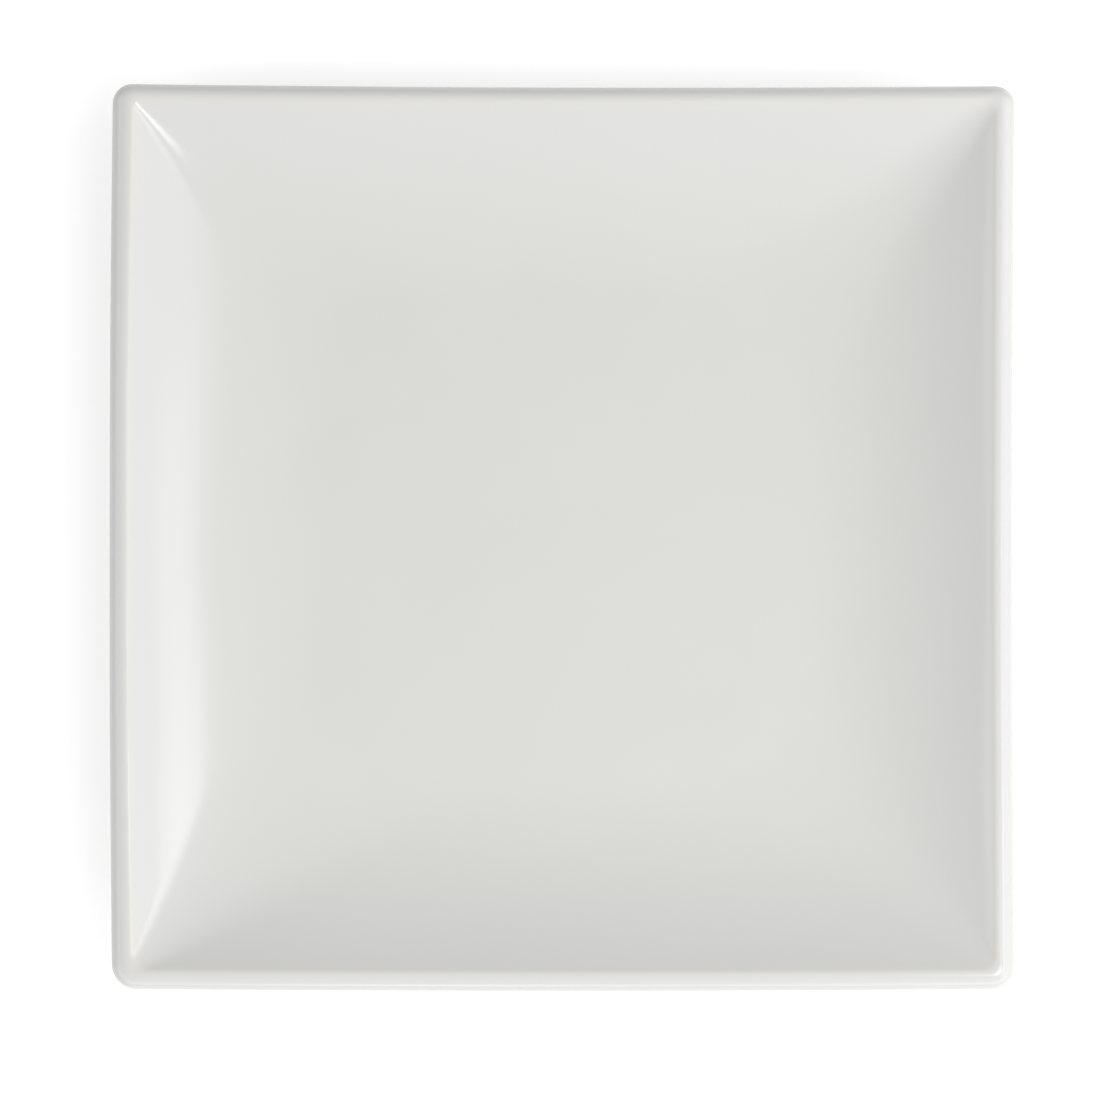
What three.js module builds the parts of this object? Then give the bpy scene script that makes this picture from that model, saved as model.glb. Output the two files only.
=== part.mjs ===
// A square plate in white glazed porcelain: a flat well, four slopes that curve up to a rolled lip,
// and a square foot ring under the well. The body is pressed in one piece. The bare standing edge of
// the foot ring parts its glaze into two coats, one over the outside and the face, one under the well.
// Millimetres, +Z up. The origin lies on the table, under the middle of the plate.
import * as THREE from "three";

// Overall sizes, measured over the glaze
const PLATE_SIDE = 240;
const PLATE_HEIGHT = 22;
const OUTLINE_CORNER_RADIUS = 6;

// Rolled lip: from its crest out to the outline, from its crest down to its widest level, and its radii
const LIP_WIDTH = 4;
const LIP_DROP = 3;
const LIP_CREST_RADIUS = 2.5;
const LIP_EDGE_RADIUS = 1.5;

// Well: its flat floor, and the corner radius where that floor turns up into the slopes
const WELL_SIDE = 128;
const WELL_CORNER_RADIUS = 28;

// Porcelain body: its thickness at the well, and the sharpest corner that the press tool leaves
const BODY_THICKNESS = 5;
const LEAST_CORNER_RADIUS = 2;

// Foot ring
const FOOT_SIDE = 140;
const FOOT_WIDTH = 5;
const FOOT_HEIGHT = 3;
const FOOT_CORNER_RADIUS = 20;
const FOOT_EDGE_RADIUS = 0.8;
const FOOT_FILLET_RADIUS = 1.5;

// Glaze, and the bare band on the sides of the foot ring above its rounded edges
const GLAZE_THICKNESS = 0.35;
const DRY_BAND = 0.3;

// Facets: steps round each corner of the plate and along the arcs of its section
const CORNER_STEPS = 6;
const SLOPE_STEPS = 9;
const WALL_STEPS = 7;
const LIP_STEPS = 4;
const FILLET_STEPS = 3;
const EDGE_STEPS = 2;

const CORNERS = 4;
const QUARTER_TURN = Math.PI / 2;
const HALF_TURN = Math.PI;
const UP = new THREE.Vector3(0, 0, 1);
const SAME_POINT = 1e-6;

// Half sides and levels of the bare porcelain
const outlineHalf = PLATE_SIDE / 2 - GLAZE_THICKNESS;
const outlineCorner = OUTLINE_CORNER_RADIUS - GLAZE_THICKNESS;
const crestHalf = PLATE_SIDE / 2 - LIP_WIDTH;
const crestLevel = PLATE_HEIGHT - GLAZE_THICKNESS;
const widestLevel = crestLevel - LIP_DROP;
const wellHalf = WELL_SIDE / 2;
const undersideLevel = FOOT_HEIGHT;
const floorLevel = undersideLevel + BODY_THICKNESS;
const footOuter = FOOT_SIDE / 2;
const footInner = footOuter - FOOT_WIDTH;
const glazeLine = FOOT_EDGE_RADIUS + DRY_BAND;
const footFillet = Math.min(FOOT_FILLET_RADIUS, FOOT_HEIGHT - glazeLine);

// A point of the section: x is the half side of the square loop there, y is its level
const point = (half, level) => new THREE.Vector2(half, level);

// The angle of the line from one point of the section to another
const bearing = (from, to) => Math.atan2(to.y - from.y, to.x - from.x);

// Points along a stretch of an ellipse or a circle in the section, clockwise where the angle falls
function ellipse(centre, halfWidth, halfHeight, from, to, steps) {
  const curve = new THREE.EllipseCurve(centre.x, centre.y, halfWidth, halfHeight, from, to, to < from);
  return curve.getPoints(steps);
}
const arc = (centre, radius, from, to, steps) => ellipse(centre, radius, radius, from, to, steps);

// Top of the lip: a quarter of an ellipse, from the widest level up to the crest
const lipCentre = point(crestHalf, widestLevel);
const lipHalfWidth = outlineHalf - crestHalf;

// Slope: an arc that leaves the well's floor level, and touches the round of the lip's crest from below
const slopeRun = crestHalf - wellHalf;
const slopeRise = crestLevel - floorLevel;
const slopeRadius = (slopeRun ** 2 + slopeRise ** 2) / (2 * slopeRise) - LIP_CREST_RADIUS;
const slopeCentre = point(wellHalf, floorLevel + slopeRadius);
const crestCentre = point(crestHalf, crestLevel - LIP_CREST_RADIUS);
const crestEnd = bearing(crestCentre, slopeCentre);
const slopeStart = bearing(slopeCentre, crestCentre);

// Outside wall: an arc that leaves the underside level, and runs into the lower round of the lip
const edgeCentre = point(outlineHalf - LIP_EDGE_RADIUS, widestLevel);
const wallRun = edgeCentre.x - wellHalf;
const wallRise = edgeCentre.y - undersideLevel;
const wallReach = wallRun ** 2 + wallRise ** 2 - LIP_EDGE_RADIUS ** 2;
const wallRadius = wallReach / (2 * (wallRise - LIP_EDGE_RADIUS));
const wallCentre = point(wellHalf, undersideLevel + wallRadius);
const wallEnd = bearing(wallCentre, edgeCentre);

// Fillets of the foot ring: the outer one touches the wall, or the flat underside inside the wall
const innerFilletCentre = point(footInner - footFillet, undersideLevel - footFillet);
const filletRun = Math.max(footOuter + footFillet - wellHalf, 0);
const filletDrop = Math.sqrt((wallRadius + footFillet) ** 2 - filletRun ** 2);
const outerFilletCentre = point(footOuter + footFillet, wallCentre.y - filletDrop);
const filletEnd = bearing(outerFilletCentre, point(outerFilletCentre.x - filletRun, wallCentre.y));
const wallStart = bearing(wallCentre, point(wellHalf + filletRun, outerFilletCentre.y));
const innerEdgeCentre = point(footInner + FOOT_EDGE_RADIUS, FOOT_EDGE_RADIUS);
const outerEdgeCentre = point(footOuter - FOOT_EDGE_RADIUS, FOOT_EDGE_RADIUS);

// The section in four stretches, which run with the porcelain on their left. A stretch that is glazed
// can lie a coat's thickness outside the porcelain: its arcs keep their centres, so they still touch.

// Under the well, from the middle of the plate out to the inner glaze line
const baseStretch = (coat) => [
  point(0, undersideLevel - coat),
  ...arc(innerFilletCentre, footFillet - coat, QUARTER_TURN, 0, FILLET_STEPS),
  point(footInner - coat, glazeLine),
];

// The bare edge that the plate stands on, from the inner glaze line to the outer one
const footStretch = () => [
  point(footInner, glazeLine),
  ...arc(innerEdgeCentre, FOOT_EDGE_RADIUS, -HALF_TURN, -QUARTER_TURN, EDGE_STEPS),
  ...arc(outerEdgeCentre, FOOT_EDGE_RADIUS, -QUARTER_TURN, 0, EDGE_STEPS),
  point(footOuter, glazeLine),
];

// The outside, from the outer glaze line up the wall to the widest level of the lip
const outsideStretch = (coat) => [
  point(footOuter + coat, glazeLine),
  ...arc(outerFilletCentre, footFillet - coat, HALF_TURN, filletEnd, FILLET_STEPS),
  ...arc(wallCentre, wallRadius + coat, wallStart, wallEnd, WALL_STEPS),
  ...arc(edgeCentre, LIP_EDGE_RADIUS + coat, wallEnd, 0, LIP_STEPS),
];

// The face, from the widest level over the lip and down the slope to the middle of the well
const faceStretch = (coat) => [
  ...ellipse(lipCentre, lipHalfWidth + coat, LIP_DROP + coat, 0, QUARTER_TURN, LIP_STEPS),
  ...arc(crestCentre, LIP_CREST_RADIUS + coat, QUARTER_TURN, crestEnd, LIP_STEPS),
  ...arc(slopeCentre, slopeRadius - coat, slopeStart, -QUARTER_TURN, SLOPE_STEPS),
  point(0, floorLevel + coat),
];

// Corner radius of a square loop that runs parallel to a wider one, down to the sharpest corner
const parallelCorner = (corner, half, ownHalf) => Math.max(corner - half + ownHalf, LEAST_CORNER_RADIUS);

// Corner radius under the plate: parallel loops up to the foot ring's side, then a blend to the outline
function undersideCorner(half) {
  if (half <= footOuter) return parallelCorner(FOOT_CORNER_RADIUS, footOuter, half);
  return THREE.MathUtils.mapLinear(half, footOuter, outlineHalf, FOOT_CORNER_RADIUS, outlineCorner);
}

// Corner radius on the face: parallel loops on the lip, then a blend down the slope to the well
function faceCorner(half) {
  if (half >= crestHalf) return parallelCorner(outlineCorner, outlineHalf, half);
  const crestCorner = parallelCorner(outlineCorner, outlineHalf, crestHalf);
  return THREE.MathUtils.mapLinear(half, wellHalf, crestHalf, WELL_CORNER_RADIUS, crestCorner);
}

// Square loops along a stretch. Those of a coat turn their corners round the porcelain's own centres.
function loopsAlong(stretch, cornerAt, coat = 0) {
  const bare = stretch(0);
  return stretch(coat).map(({ x: half, y: level }, i) => {
    return { half, level, corner: cornerAt(bare[i].x) + half - bare[i].x };
  });
}

// Lists of loops joined end to end, with a loop that two of them share kept once
function joined(...lists) {
  const loops = lists.flat();
  return loops.filter(({ half, level }, i) => {
    return i === 0 || Math.hypot(half - loops[i - 1].half, level - loops[i - 1].level) > SAME_POINT;
  });
}

// The points of a square loop with round corners, counter-clockwise from the +X side
function squareLoop({ half, level, corner }) {
  const points = [];
  for (let quarter = 0; quarter < CORNERS; quarter++) {
    for (let step = 0; step <= CORNER_STEPS; step++) {
      const angle = (step / CORNER_STEPS) * QUARTER_TURN;
      const x = half - corner + corner * Math.cos(angle);
      const y = half - corner + corner * Math.sin(angle);
      points.push(new THREE.Vector3(x, y, level).applyAxisAngle(UP, quarter * QUARTER_TURN));
    }
  }
  return points;
}

// A closed skin over square loops that start as a point on the axis and end as one higher up.
// Each flat quad is cut from its first corner on the wider loop, whichever way the section runs,
// so that the glaze and the porcelain under it share every triangle.
function loft(loops) {
  const rings = loops.slice(1, -1);
  const ringPoints = rings.map(squareLoop);
  const size = ringPoints[0].length;
  const axisPoints = [loops[0], loops.at(-1)].map(({ level }) => new THREE.Vector3(0, 0, level));
  const points = [...ringPoints.flat(), ...axisPoints];
  const bottom = points.length - 2;
  const top = points.length - 1;
  const lastRing = rings.length - 1;
  const triangles = [];
  for (let k = 0; k < size; k++) {
    const at = (ring, step) => ring * size + ((k + step) % size);
    triangles.push(at(0, 1), at(0, 0), bottom);
    for (let ring = 0; ring < lastRing; ring++) {
      const near = rings[ring];
      const far = rings[ring + 1];
      const nearIsWider = near.half > far.half || (near.half === far.half && near.level > far.level);
      const quad = [at(ring, 0), at(ring, 1), at(ring + 1, 1), at(ring + 1, 0)];
      const [a, b, c, d] = nearIsWider ? quad : [...quad.slice(1), quad[0]];
      triangles.push(a, b, c, a, c, d);
    }
    triangles.push(at(lastRing, 0), at(lastRing, 1), top);
  }
  const geometry = new THREE.BufferGeometry().setFromPoints(points).setIndex(triangles);
  geometry.computeVertexNormals();
  return geometry;
}

// A named sub-part, from the loops of its closed section and its finish
function subPart(name, loops, finish) {
  const mesh = new THREE.Mesh(loft(loops), new THREE.MeshStandardMaterial(finish));
  mesh.name = name;
  return mesh;
}

// White porcelain, matte where it is bare, and gloss glaze, which shows the porcelain's white
const porcelain = { color: "#eae5da", roughness: 0.75, metalness: 0 };
const glaze = { color: "#e4e5df", roughness: 0.1, metalness: 0 };

// The porcelain's own surface, and the free sides of the two coats of glaze on it
const base = loopsAlong(baseStretch, undersideCorner);
const foot = loopsAlong(footStretch, undersideCorner);
const outside = loopsAlong(outsideStretch, undersideCorner);
const face = loopsAlong(faceStretch, faceCorner);
const glazedBase = loopsAlong(baseStretch, undersideCorner, GLAZE_THICKNESS);
const glazedOutside = loopsAlong(outsideStretch, undersideCorner, GLAZE_THICKNESS);
const glazedFace = loopsAlong(faceStretch, faceCorner, GLAZE_THICKNESS);

const bodyLoops = joined(base, foot, outside, face);
const faceGlazeLoops = joined(face.toReversed(), outside.toReversed(), glazedOutside, glazedFace);
const baseGlazeLoops = joined(glazedBase, base.toReversed());

const plate = new THREE.Group();
plate.add(subPart("porcelain_body", bodyLoops, porcelain));
plate.add(subPart("face_glaze", faceGlazeLoops, glaze));
plate.add(subPart("base_glaze", baseGlazeLoops, glaze));

export default plate;
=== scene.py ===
import math

import bpy
import numpy as np
from mathutils import Euler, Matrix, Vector


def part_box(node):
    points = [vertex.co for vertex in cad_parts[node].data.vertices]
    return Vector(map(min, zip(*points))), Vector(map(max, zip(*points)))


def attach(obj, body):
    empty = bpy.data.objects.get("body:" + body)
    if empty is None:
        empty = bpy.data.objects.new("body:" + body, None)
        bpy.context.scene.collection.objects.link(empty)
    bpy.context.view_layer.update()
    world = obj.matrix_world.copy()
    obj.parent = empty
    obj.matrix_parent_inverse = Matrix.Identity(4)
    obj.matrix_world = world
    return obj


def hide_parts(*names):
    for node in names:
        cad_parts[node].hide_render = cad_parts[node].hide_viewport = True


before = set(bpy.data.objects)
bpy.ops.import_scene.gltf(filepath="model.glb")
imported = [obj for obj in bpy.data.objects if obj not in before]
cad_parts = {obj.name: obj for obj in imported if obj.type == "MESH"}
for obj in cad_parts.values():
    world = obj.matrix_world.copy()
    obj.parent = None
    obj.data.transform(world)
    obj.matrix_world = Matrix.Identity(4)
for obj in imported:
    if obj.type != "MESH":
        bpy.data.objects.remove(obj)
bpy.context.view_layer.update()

# Porcelain body: one piece of hard porcelain, pressed from clay powder between steel tools and fired.
# It is the well, the four slopes, the lip and the foot ring together, and it shows only where the foot
# ring's standing edge was wiped clean before the firing, as matte, slightly warm bisque.

MM = 0.001
OUTLINE_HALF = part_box("porcelain_body")[1].x
CREST_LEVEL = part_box("porcelain_body")[1].z
GLAZE_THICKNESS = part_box("face_glaze")[1].z - CREST_LEVEL
LIP_WIDTH = 4 * MM
LIP_DROP = 3 * MM
LIP_CREST_RADIUS = 2.5 * MM
LIP_EDGE_RADIUS = 1.5 * MM
GLAZED_CORNER = 6 * MM
OUTLINE_CORNER = GLAZED_CORNER - GLAZE_THICKNESS
CREST_HALF = OUTLINE_HALF + GLAZE_THICKNESS - LIP_WIDTH
CREST_CORNER = 4 * MM
WELL_HALF = 64 * MM
WELL_CORNER = 44 * MM
FOOT_OUTER = 70 * MM
FOOT_INNER = 65 * MM
FOOT_CORNER = 20 * MM
FOOT_EDGE_RADIUS = 0.8 * MM
FOOT_FILLET = 1.5 * MM
UNDERSIDE_LEVEL = 3 * MM
FLOOR_LEVEL = 8 * MM
GLAZE_LINE = 1.1 * MM
WIDEST_LEVEL = CREST_LEVEL - LIP_DROP
QUARTER = math.pi / 2
FLAT_STEPS = 16
SLOPE_STEPS = 56
WALL_STEPS = 28
LIP_STEPS = 18
ROUND_STEPS = 8
SIDE_STEPS = 4


def bearing(start, end):
    """The angle of the line from one point of the section to another."""
    return math.atan2(end[1] - start[1], end[0] - start[0])


def arc(centre, radii, start, end, steps):
    """Points (half side, level) along an ellipse round a centre: centre plus radii times (cos, sin) of
    an angle that runs evenly from start to end."""
    angle = np.linspace(start, end, steps + 1)
    return np.stack([centre[0] + radii[0] * np.cos(angle), centre[1] + radii[1] * np.sin(angle)], axis=1)


def line(start, end, steps):
    """Points at even steps along a straight stretch of the section."""
    return np.linspace(start, end, steps + 1)


# The slope is a hollow arc from the level floor to the round of the crest. The wall under it is a full
# arc from the level underside to the round of the lip's edge, with a fillet where the foot ring starts.
slope_rise = CREST_LEVEL - FLOOR_LEVEL
slope_radius = ((CREST_HALF - WELL_HALF) ** 2 + slope_rise ** 2) / (2 * slope_rise) - LIP_CREST_RADIUS
slope_centre = (WELL_HALF, FLOOR_LEVEL + slope_radius)
crest_centre = (CREST_HALF, CREST_LEVEL - LIP_CREST_RADIUS)
edge_centre = (OUTLINE_HALF - LIP_EDGE_RADIUS, WIDEST_LEVEL)
wall_run = edge_centre[0] - WELL_HALF
wall_rise = edge_centre[1] - UNDERSIDE_LEVEL
wall_reach = wall_run ** 2 + wall_rise ** 2 - LIP_EDGE_RADIUS ** 2
wall_radius = wall_reach / (2 * (wall_rise - LIP_EDGE_RADIUS))
wall_centre = (WELL_HALF, UNDERSIDE_LEVEL + wall_radius)
fillet_run = FOOT_OUTER + FOOT_FILLET - WELL_HALF
fillet_drop = math.sqrt((wall_radius + FOOT_FILLET) ** 2 - fillet_run ** 2)
outer_fillet_centre = (FOOT_OUTER + FOOT_FILLET, wall_centre[1] - fillet_drop)
inner_fillet_centre = (FOOT_INNER - FOOT_FILLET, UNDERSIDE_LEVEL - FOOT_FILLET)


def base_section(coat):
    """The section under the well, from the middle out to the inner glaze line, a coat outside the body."""
    ceiling_level = UNDERSIDE_LEVEL - coat
    ceiling = line((0, ceiling_level), (inner_fillet_centre[0], ceiling_level), FLAT_STEPS)
    fillet = arc(inner_fillet_centre, [FOOT_FILLET - coat] * 2, QUARTER, 0, ROUND_STEPS)
    side = line(fillet[-1], (FOOT_INNER - coat, GLAZE_LINE), SIDE_STEPS)
    return np.concatenate([ceiling, fillet[1:], side[1:]])


def foot_section(_):
    """The section of the standing edge, from the inner glaze line round to the outer one. It takes no
    coat."""
    radii = [FOOT_EDGE_RADIUS] * 2
    inner_centre = (FOOT_INNER + FOOT_EDGE_RADIUS, FOOT_EDGE_RADIUS)
    outer_centre = (FOOT_OUTER - FOOT_EDGE_RADIUS, FOOT_EDGE_RADIUS)
    inner = arc(inner_centre, radii, -2 * QUARTER, -QUARTER, ROUND_STEPS)
    outer = arc(outer_centre, radii, -QUARTER, 0, ROUND_STEPS)
    flat = line(inner[-1], outer[0], SIDE_STEPS)
    ends = [[(FOOT_INNER, GLAZE_LINE)], [(FOOT_OUTER, GLAZE_LINE)]]
    return np.concatenate([ends[0], inner, flat[1:], outer[1:], ends[1]])


def outside_section(coat):
    """The section from the outer glaze line up the wall to the lip's widest level, a coat outside it."""
    wall_start = bearing(wall_centre, outer_fillet_centre)
    wall_end = bearing(wall_centre, edge_centre)
    fillet_end = bearing(outer_fillet_centre, wall_centre)
    fillet = arc(outer_fillet_centre, [FOOT_FILLET - coat] * 2, 2 * QUARTER, fillet_end, ROUND_STEPS)
    side = line((FOOT_OUTER + coat, GLAZE_LINE), fillet[0], SIDE_STEPS)
    wall = arc(wall_centre, [wall_radius + coat] * 2, wall_start, wall_end, WALL_STEPS)
    edge = arc(edge_centre, [LIP_EDGE_RADIUS + coat] * 2, wall_end, 0, ROUND_STEPS)
    return np.concatenate([side, fillet[1:], wall[1:], edge[1:]])


def face_section(coat):
    """The section from the widest level over the lip and down the slope to the middle, a coat above the
    body: a quarter of an ellipse up to the crest, the round of the crest, the slope and the floor."""
    lip_radii = [OUTLINE_HALF + coat - CREST_HALF, LIP_DROP + coat]
    crest_end = bearing(crest_centre, slope_centre)
    slope_start = bearing(slope_centre, crest_centre)
    lip = arc((CREST_HALF, WIDEST_LEVEL), lip_radii, 0, QUARTER, LIP_STEPS)
    crest = arc(crest_centre, [LIP_CREST_RADIUS + coat] * 2, QUARTER, crest_end, ROUND_STEPS)
    slope = arc(slope_centre, [slope_radius - coat] * 2, slope_start, -QUARTER, SLOPE_STEPS)
    floor = line(slope[-1], (0, FLOOR_LEVEL + coat), FLAT_STEPS)
    return np.concatenate([lip, crest[1:], slope[1:], floor[1:]])


# The corners of the foot ring, the wall and the outline are round. Those of the slopes were cut in the
# tool by hand: they run into the sides without an edge, which a superellipse of a higher power does.
ROUND_POWER = 2
SLOPE_POWER = 3


def under_corner(half):
    """Size and power of the corners under the plate: they grow with the loop in the middle, run parallel
    to the foot ring's outer side across the ring, and then fall evenly to the outline's radius."""
    ring_start = inner_fillet_centre[0]
    radii = [0, FOOT_CORNER - (FOOT_OUTER - ring_start), FOOT_CORNER, OUTLINE_CORNER]
    size = np.interp(half, [0, ring_start, FOOT_OUTER, OUTLINE_HALF], radii)
    return size, np.full_like(size, ROUND_POWER)


def face_corner(half):
    """Size and power of the corners on the face: they grow with the loop in the well, fall evenly up the
    slope to the sharper corner of the crest, and grow again over the lip to the outline's."""
    sizes = [0, WELL_CORNER, CREST_CORNER, OUTLINE_CORNER]
    size = np.interp(half, [0, WELL_HALF, CREST_HALF, OUTLINE_HALF], sizes)
    return size, np.interp(half, [CREST_HALF, OUTLINE_HALF], [SLOPE_POWER, ROUND_POWER])


def loops(section, corner_at, coat=0):
    """Half side, level, corner size and corner power of the square loop at each point of a section, and
    how far it is up the slope, from 0 at the well to 1 at the crest. The corners of a coat turn round the
    same centres as the body's, so the coat is parallel to the body."""
    bare = section(0)
    outer = section(coat)
    size, power = corner_at(bare[:, 0])
    climb = np.interp(bare[:, 0], [WELL_HALF, CREST_HALF], [0, 1])
    return np.column_stack([outer, size + outer[:, 0] - bare[:, 0], power, climb])


# The kiln bends the sides by half a millimetre or so, pulls the back left corner out as far, and leaves
# slow waves of a tenth of a millimetre in the slopes. The upper press tool sat a little off the lower one,
# was a little shorter from left to right and bowed out on the left, so the lip's width differs from side
# to side. Each corner of the tools has its own wear, listed from the back right one round to the front
# right one: of the slopes' corners the back left one is sharper, and the front left one fuller halfway up.
SIDE_BEND = (0.7 * MM, 0.55 * MM)
CORNER_PULL = (0.2 * MM, 0.6 * MM)
SLOPE_WAVE = 0.1 * MM
WAVE_LENGTHS = (13 * MM, 17 * MM, 15 * MM, 31 * MM)
WAVE_STARTS = (1, 2)
TOOL_SHIFT = (0.225 * MM, 0.6 * MM)
TOOL_SQUEEZE = (0.475 * MM, -0.2 * MM)
TOOL_BOW = 0.4 * MM
OUTLINE_WEAR = np.array([0.91, 0.89, 1.11, 1.03])
SLOPE_WEAR = np.array([1.0, 0.75, 1.0, 1.0])
SLOPE_FULLNESS = np.array([0, 0, 12, 0]) * MM
TURN_STEPS = 24
SLIDE_STEPS = 44


def kiln_warp(points):
    """Bends the sides along their length by a parabola, pulls the back left corner by a share that falls
    off with the square of (1 - x)/2 (1 + y)/2, moves the lip's crest by the tool's offset, its shortness
    and its bow, and lifts the slopes by slow sine waves. All of it fades out smoothly towards the foot
    ring, which stays flat on the table, and the tool's moves fade out to the outline too. How far out a
    point lies is counted in squares with the outline's round corners."""
    x, y = points[..., 0], points[..., 1]
    into_corner = np.maximum(abs(points[..., :2]) - (OUTLINE_HALF - OUTLINE_CORNER), 0)
    ring = np.maximum(abs(x), abs(y)) + np.linalg.norm(into_corner, axis=-1) - into_corner.max(axis=-1)
    reach = np.clip((ring - FOOT_OUTER) / (CREST_HALF - FOOT_OUTER), 0, 1)
    reach = reach * reach * (3 - 2 * reach)
    tool = reach * np.clip((OUTLINE_HALF - ring) / (OUTLINE_HALF - CREST_HALF), 0, 1)
    wave = np.sin(x / WAVE_LENGTHS[0] + WAVE_STARTS[0]) * np.cos(y / WAVE_LENGTHS[1])
    wave += np.sin(y / WAVE_LENGTHS[2] + x / WAVE_LENGTHS[3] + WAVE_STARTS[1])
    pull = reach * ((1 - x / OUTLINE_HALF) / 2 * (1 + y / OUTLINE_HALF) / 2) ** 2
    bow = TOOL_BOW * tool * (1 - x / CREST_HALF)
    move_x = (TOOL_SHIFT[0] - TOOL_SQUEEZE[0] * x / CREST_HALF) * tool + CORNER_PULL[0] * pull
    move_y = (TOOL_SHIFT[1] - TOOL_SQUEEZE[1] * y / CREST_HALF) * tool + CORNER_PULL[1] * pull
    move_x -= (SIDE_BEND[0] * reach + bow) * (1 - (y / OUTLINE_HALF) ** 2)
    move_y -= SIDE_BEND[1] * reach * (1 - (x / OUTLINE_HALF) ** 2)
    return points + np.stack([move_x, move_y, SLOPE_WAVE * reach * wave], axis=-1)


def square_surface(stations):
    """Points of the surface over a list of square loops, as a grid of loops by steps round them. Round a
    loop, a corner's centre is (half - corner size) times (+-1, +-1), and the point stands off it along a
    superellipse: the size times (cos, sin) of an angle, over (cos^power + sin^power)^(1/power). On a
    corner the angle turns, and on a side the centre slides to the next corner. A corner's size is the
    loop's times the corner's wear, plus the corner's fullness times a parabola that is 0 at the well and
    at the crest and 1 halfway."""
    turn = np.linspace(0, 1, TURN_STEPS + 1)
    slide = np.linspace(0, 1, SLIDE_STEPS + 1)[1:-1]
    signs = np.array([(1, 1), (-1, 1), (-1, -1), (1, -1)])
    corners = np.eye(len(signs))
    centre, angle, share = [], [], []
    for corner, following in enumerate((1, 2, 3, 0)):
        centre += [np.tile(signs[corner], (len(turn), 1))]
        centre += [signs[corner] + slide[:, None] * (signs[following] - signs[corner])]
        angle += [(corner + turn) * QUARTER, np.full(len(slide), (corner + 1) * QUARTER)]
        share += [np.tile(corners[corner], (len(turn), 1))]
        share += [corners[corner] + slide[:, None] * (corners[following] - corners[corner])]
    centre, angle, share = np.concatenate(centre), np.concatenate(angle), np.concatenate(share)
    half, level, size, power, climb = (column[:, None] for column in stations.T)
    on_slope = (power - ROUND_POWER) / (SLOPE_POWER - ROUND_POWER)
    size = size * (share @ OUTLINE_WEAR * (1 - on_slope) + share @ SLOPE_WEAR * on_slope)
    halfway = 1 - (2 * climb - 1) ** 2
    size = size + share @ SLOPE_FULLNESS * on_slope * halfway
    across, along = np.cos(angle), np.sin(angle)
    reach = size * (abs(across) ** power + abs(along) ** power) ** (-1 / power)
    x = centre[:, 0] * (half - size) + reach * across
    y = centre[:, 1] * (half - size) + reach * along
    return kiln_warp(np.stack([x, y, np.broadcast_to(level, x.shape)], axis=-1))


SAME_POINT = 0.000001 * MM


def closed_piece(name, stretches, material):
    """A closed mesh over stretches of square loops that start and end on the axis. Loops that two
    stretches share are kept once, each pair of loops is joined by quads, and a fan closes each end.
    Each point keeps its half side and level in the attribute "section", for the materials to read."""
    stations = np.concatenate(stretches)
    apart = np.linalg.norm(np.diff(stations[:, :2], axis=0), axis=1) > SAME_POINT
    stations = stations[np.concatenate([[True], apart])]
    grid = square_surface(stations[1:-1])
    rings, size = grid.shape[:2]
    index = np.arange(rings * size).reshape(rings, size)
    onward = np.roll(index, -1, axis=1)
    quads = np.stack([index[:-1], onward[:-1], onward[1:], index[1:]], axis=-1).reshape(-1, 4)
    low, high = rings * size, rings * size + 1
    bottom = np.stack([onward[0], index[0], np.full(size, low)], axis=-1)
    top = np.stack([index[-1], onward[-1], np.full(size, high)], axis=-1)
    ends = stations[[0, -1], :2]
    points = np.concatenate([grid.reshape(-1, 3), [(0, 0, level) for _, level in ends]])
    places = np.concatenate([np.repeat(stations[1:-1, :2], size, axis=0), ends])
    mesh = bpy.data.meshes.new(name)
    mesh.from_pydata(points, [], [*quads.tolist(), *bottom.tolist(), *top.tolist()])
    section = mesh.attributes.new("section", "FLOAT_VECTOR", "POINT")
    section.data.foreach_set("vector", np.pad(places, ((0, 0), (0, 1))).astype(np.float32).ravel())
    mesh.shade_smooth()
    mesh.materials.append(material)
    piece = bpy.data.objects.new(name, mesh)
    bpy.context.scene.collection.objects.link(piece)
    return piece


def linear(code):
    """An sRGB hex colour as linear red, green, blue and an alpha of 1."""
    values = [int(code[i : i + 2], 16) / 255 for i in (1, 3, 5)]
    return [v / 12.92 if v <= 0.04045 else ((v + 0.055) / 1.055) ** 2.4 for v in values] + [1]


def add(tree, kind, inputs, **settings):
    """Adds a node with its settings, and fills its inputs: an output socket is linked, and any other
    value is set on the input itself."""
    made = tree.nodes.new(kind)
    for key, value in settings.items():
        setattr(made, key, value)
    for key, value in inputs.items():
        if isinstance(value, bpy.types.NodeSocket):
            tree.links.new(value, made.inputs[key])
        else:
            made.inputs[key].default_value = value
    return made


def new_material(name):
    """A material with an empty node tree but for its output."""
    material = bpy.data.materials.new(name)
    material.use_nodes = True
    material.node_tree.nodes.clear()
    return material, material.node_tree


# Sockets of a colour Mix node, which bear the same names as its sockets for numbers
FIRST, SECOND, MIXED = 6, 7, 2


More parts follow.
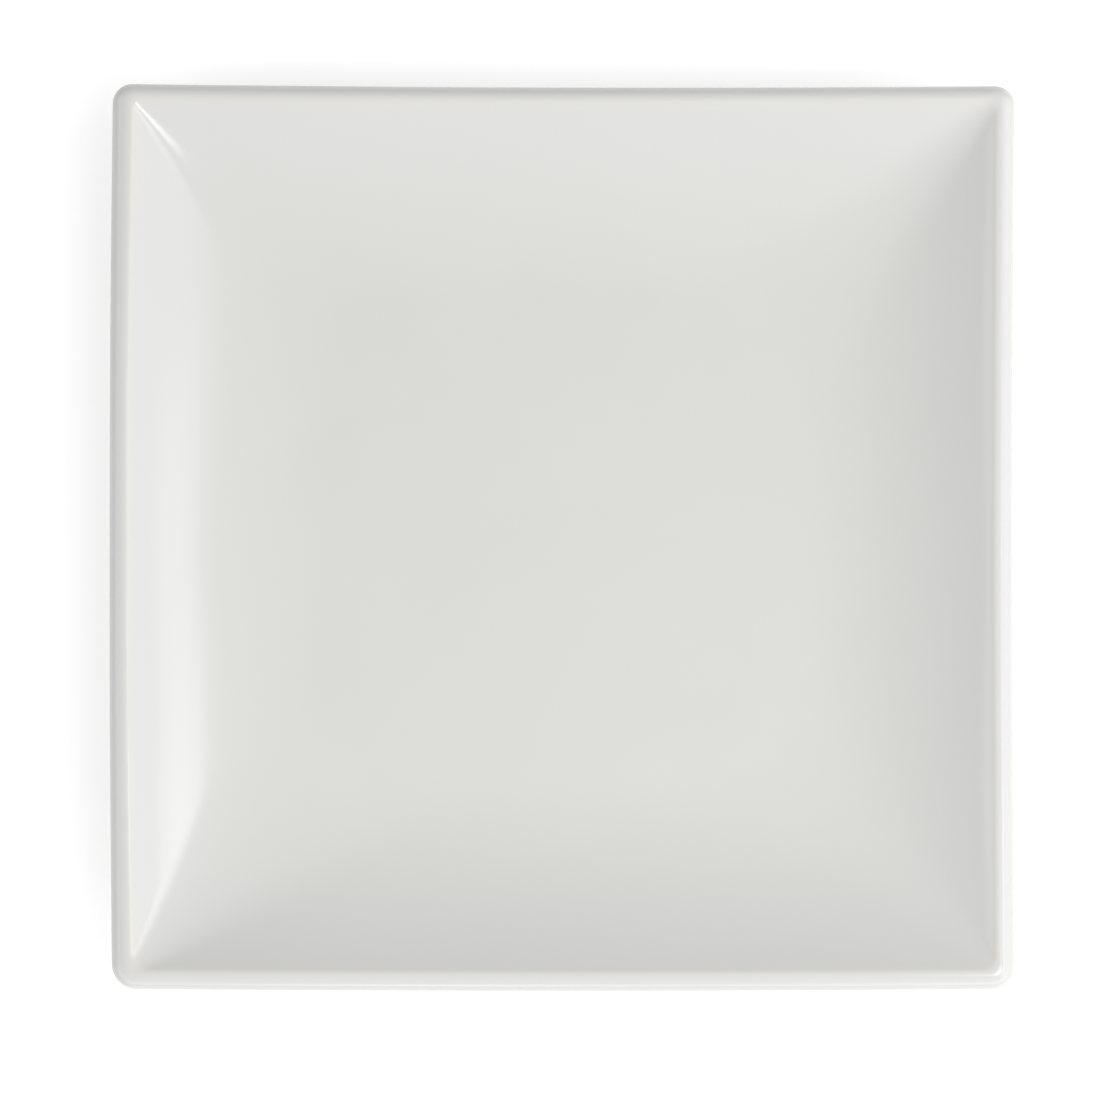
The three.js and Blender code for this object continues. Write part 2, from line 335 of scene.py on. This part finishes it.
def bisque_porcelain():
    """Fired porcelain without glaze, wiped with a sponge: matte, warm off-white, with a fine grit and
    slightly greyer patches where it stood on the kiln shelf."""
    grit_size, patch_size, grit_depth = 0.9 * MM, 9 * MM, 0.08 * MM
    grit_octaves, roughness = 4, 0.8
    material, tree = new_material("bisque_porcelain")
    place = add(tree, "ShaderNodeTexCoord", {}).outputs["Object"]
    grain = {"Vector": place, "Scale": 1 / grit_size, "Detail": grit_octaves}
    grit = add(tree, "ShaderNodeTexNoise", grain).outputs[0]
    patch = add(tree, "ShaderNodeTexNoise", {"Vector": place, "Scale": 1 / patch_size}).outputs[0]
    colours = {"Factor": grit, FIRST: linear("#DCD3C4"), SECOND: linear("#F0EBE0")}
    clay = add(tree, "ShaderNodeMix", colours, data_type="RGBA").outputs[MIXED]
    colours = {"Factor": patch, FIRST: clay, SECOND: linear("#D9D3CA")}
    clay = add(tree, "ShaderNodeMix", colours, data_type="RGBA").outputs[MIXED]
    bump = add(tree, "ShaderNodeBump", {"Height": grit, "Distance": grit_depth}).outputs[0]
    looks = {"Base Color": clay, "Roughness": roughness, "Normal": bump}
    shader = add(tree, "ShaderNodeBsdfPrincipled", looks)
    add(tree, "ShaderNodeOutputMaterial", {"Surface": shader.outputs[0]})
    return material


bare_base = loops(base_section, under_corner)
bare_foot = loops(foot_section, under_corner)
bare_outside = loops(outside_section, under_corner)
bare_face = loops(face_section, face_corner)
body_stretches = [bare_base, bare_foot, bare_outside, bare_face]
body = closed_piece("porcelain_body_fired", body_stretches, bisque_porcelain())
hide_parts("porcelain_body")
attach(body, "root")

# Face glaze: a coat of clear glass melted over the well, the slopes, the lip and the outside wall, on
# the white of the porcelain. It lies thickest in the well, with a faint green tinge, and ran thin over
# the lip and towards the wiped foot ring, where the warm body shows through.


def glazed_porcelain():
    """White porcelain under gloss glaze, dipped and fired: an even white, mirrored lamps with soft edges
    on a faint orange peel, a warm line where the coat is thin, and a few faint pinholes."""
    mottle_size, peel_size, peel_depth = 24 * MM, 5 * MM, 0.004 * MM
    thin_width, taper_height = 2.2 * MM, 1.2 * MM
    pinhole_spacing, pinhole_width = 42 * MM, 0.9 * MM
    least_roughness, most_roughness, glass_index = 0.06, 0.1, 1.5
    crest_inside = (CREST_HALF - LIP_CREST_RADIUS / 2, CREST_LEVEL, 0)
    material, tree = new_material("glazed_porcelain")
    place = add(tree, "ShaderNodeTexCoord", {}).outputs["Object"]
    section = add(tree, "ShaderNodeAttribute", {}, attribute_name="section").outputs["Vector"]
    half, level, _ = add(tree, "ShaderNodeSeparateXYZ", {"Vector": section}).outputs
    mottle = add(tree, "ShaderNodeTexNoise", {"Vector": place, "Scale": 1 / mottle_size}).outputs[0]
    peel = add(tree, "ShaderNodeTexNoise", {"Vector": place, "Scale": 1 / peel_size}).outputs[0]
    pinholes = add(tree, "ShaderNodeTexVoronoi", {"Vector": place, "Scale": 1 / pinhole_spacing})
    from_crest = add(tree, "ShaderNodeVectorMath", {0: section, 1: crest_inside}, operation="DISTANCE")

    # Each tone is laid over the last by a share that rises from 0 to 1 between two values of a socket
    colours = {"Factor": mottle, FIRST: linear("#E5E6E0"), SECOND: linear("#E8E9E4")}
    white = add(tree, "ShaderNodeMix", colours, data_type="RGBA").outputs[MIXED]
    for source, none, full, tone in (
        (half, WELL_HALF, CREST_HALF, "#E7E7E5"),
        (from_crest.outputs["Value"], thin_width, 0, "#E8E7E3"),
        (level, GLAZE_LINE + taper_height, GLAZE_LINE, "#E6DCCD"),
        (pinholes.outputs["Distance"], pinhole_width / pinhole_spacing, 0, "#DEDDD6"),
    ):
        limits = {"Value": source, "From Min": none, "From Max": full}
        share = add(tree, "ShaderNodeMapRange", limits, interpolation_type="SMOOTHSTEP").outputs[0]
        colours = {"Factor": share, FIRST: white, SECOND: linear(tone)}
        white = add(tree, "ShaderNodeMix", colours, data_type="RGBA").outputs[MIXED]

    bump = add(tree, "ShaderNodeBump", {"Height": peel, "Distance": peel_depth}).outputs[0]
    limits = {"Value": mottle, "To Min": least_roughness, "To Max": most_roughness}
    gloss = add(tree, "ShaderNodeMapRange", limits).outputs[0]
    looks = {"Base Color": white, "Roughness": gloss, "IOR": glass_index, "Normal": bump}
    shader = add(tree, "ShaderNodeBsdfPrincipled", looks)
    add(tree, "ShaderNodeOutputMaterial", {"Surface": shader.outputs[0]})
    return material


glaze = glazed_porcelain()
coat_outside = loops(outside_section, under_corner, GLAZE_THICKNESS)
coat_face = loops(face_section, face_corner, GLAZE_THICKNESS)
face_stretches = [bare_face[::-1], bare_outside[::-1], coat_outside, coat_face]
face_glaze = closed_piece("face_glaze_coat", face_stretches, glaze)
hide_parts("face_glaze")
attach(face_glaze, "root")

# Base glaze: the same clear coat under the well, inside the foot ring. It was poured with the rest and
# is cut off from it by the dry standing edge.

coat_base = loops(base_section, under_corner, GLAZE_THICKNESS)
base_glaze = closed_piece("base_glaze_coat", [coat_base, bare_base[::-1]], glaze)
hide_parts("base_glaze")
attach(base_glaze, "root")

# Studio: a plain white table, which the camera, mirrors and glass see as pure white with the plate's
# shadow on it, and soft lamps round the plate, strongest from the right and from the front.

scene = bpy.context.scene
scene.view_settings.view_transform = "Standard"
FLOOR_HALF = 4.0


def white_table():
    """Matte white paint. To the camera, mirrors and glass it glows just enough for its lit part to be
    white, and this glow sheds no light on the plate."""
    glow_strength = 0.5
    material, tree = new_material("white_table")
    path = add(tree, "ShaderNodeLightPath", {})
    matte = add(tree, "ShaderNodeBsdfDiffuse", {"Color": linear("#E6E6E6")})
    glow = add(tree, "ShaderNodeEmission", {"Color": linear("#FFFFFF"), "Strength": glow_strength})
    rays = [path.outputs[kind] for kind in ("Is Camera Ray", "Is Glossy Ray", "Is Transmission Ray")]
    seen = add(tree, "ShaderNodeMath", {0: rays[0], 1: rays[1]}, operation="MAXIMUM").outputs[0]
    seen = add(tree, "ShaderNodeMath", {0: seen, 1: rays[2]}, operation="MAXIMUM").outputs[0]
    white = add(tree, "ShaderNodeAddShader", {0: matte.outputs[0], 1: glow.outputs[0]})
    shown = add(tree, "ShaderNodeMixShader", {0: seen, 1: matte.outputs[0], 2: white.outputs[0]})
    add(tree, "ShaderNodeOutputMaterial", {"Surface": shown.outputs[0]})
    return material


table = bpy.data.meshes.new("table")
corners = np.array([(-1, -1, 0), (1, -1, 0), (1, 1, 0), (-1, 1, 0)])
table.from_pydata(FLOOR_HALF * corners, [], [(0, 1, 2, 3)])
table.materials.append(white_table())
table_top = bpy.data.objects.new("table", table)
scene.collection.objects.link(table_top)

LAMP_DISTANCE = 1.5
MIDDLE_TO_ONE = 16


def softbox(name, azimuth, zenith, width, height, brightness, sharpness=1, slide=0):
    """A rectangular lamp behind a cloth, aimed at the plate and then slid along its width. Azimuth is
    counted from +X towards +Y and zenith from straight up, both in degrees. The cloth shows the
    brightness in its middle, where 1 is white, and fades out to its edges: 16 u (1 - u) v (1 - v), times
    the sharpness, and no more than 1."""
    lamp = bpy.data.lights.new(name, "AREA")
    lamp.shape = "RECTANGLE"
    lamp.size, lamp.size_y = width, height
    lamp.energy = brightness * math.pi * width * height
    lamp.use_nodes = True
    tree = lamp.node_tree
    place = add(tree, "ShaderNodeNewGeometry", {}).outputs["Parametric"]
    rest = add(tree, "ShaderNodeVectorMath", {0: (1, 1, 1), 1: place}, operation="SUBTRACT").outputs[0]
    fade = add(tree, "ShaderNodeVectorMath", {0: place, 1: rest}, operation="MULTIPLY").outputs[0]
    fade = add(tree, "ShaderNodeSeparateXYZ", {0: fade}).outputs
    fade = add(tree, "ShaderNodeMath", {0: fade[0], 1: fade[1]}, operation="MULTIPLY").outputs[0]
    steep = {0: fade, 1: MIDDLE_TO_ONE * sharpness}
    fade = add(tree, "ShaderNodeMath", steep, operation="MULTIPLY", use_clamp=True).outputs[0]
    tree.links.new(fade, tree.nodes["Emission"].inputs["Strength"])
    away = Euler((0, math.radians(zenith), math.radians(azimuth))).to_matrix() @ Vector((0, 0, 1))
    holder = bpy.data.objects.new(name, lamp)
    turn = away.to_track_quat("Z", "Y")
    holder.location = away * LAMP_DISTANCE + turn @ Vector((slide, 0, 0))
    holder.rotation_euler = turn.to_euler()
    scene.collection.objects.link(holder)


# Seen from above, the left slope mirrors the wall and the strip, the back left corner of the slopes
# mirrors the corner lamp, and the top of the right slope the left panel. The other panels stand low and
# light the slopes from the sides: only the lip and the tops of the slopes mirror them.
softbox("right_wall", azimuth=0, zenith=42.5, width=2, height=1.05, brightness=1.3, sharpness=1.6)
softbox("key_strip", azimuth=0, zenith=34.5, width=1.1, height=0.42, brightness=2.6, slide=-0.4)
softbox("corner_lamp", azimuth=-43, zenith=24.5, width=0.38, height=0.46, brightness=7)
softbox("right_panel", azimuth=8, zenith=68, width=1.6, height=0.9, brightness=1.2, sharpness=4)
softbox("front_right_panel", azimuth=-56, zenith=63, width=2.4, height=0.55, brightness=1.75, sharpness=4)
softbox("front_left_panel", azimuth=-130, zenith=63, width=2.4, height=0.55, brightness=1.35, sharpness=4)
softbox("left_panel", azimuth=180, zenith=53, width=2, height=0.3, brightness=1.2, sharpness=4)

ROOM_LIGHT = 0.39
world = bpy.data.worlds.new("studio")
world.use_nodes = True
world.node_tree.nodes["Background"].inputs["Color"].default_value = linear("#FFFFFF")
world.node_tree.nodes["Background"].inputs["Strength"].default_value = ROOM_LIGHT
scene.world = world

# Camera: a long lens straight above the plate, aimed a little to the left of its middle and in front of
# it, so the plate lies right of the picture's middle and above it. The plate's pixels and shift are those
# of a picture with the side given here.

PHOTO_SIDE = 1100
PLATE_PIXELS = 903
PLATE_SHIFT = (13.5, 12.5)
CAMERA_HEIGHT = 1.2
SENSOR_WIDTH = 36
side = 2 * (OUTLINE_HALF + GLAZE_THICKNESS)
lens = bpy.data.cameras.new("camera")
lens.sensor_width = SENSOR_WIDTH
lens.lens = SENSOR_WIDTH * (CAMERA_HEIGHT - WIDEST_LEVEL) / (side * PHOTO_SIDE / PLATE_PIXELS)
camera = bpy.data.objects.new("camera", lens)
camera.location = (*(-shift * side / PLATE_PIXELS for shift in PLATE_SHIFT), CAMERA_HEIGHT)
scene.collection.objects.link(camera)
scene.camera = camera
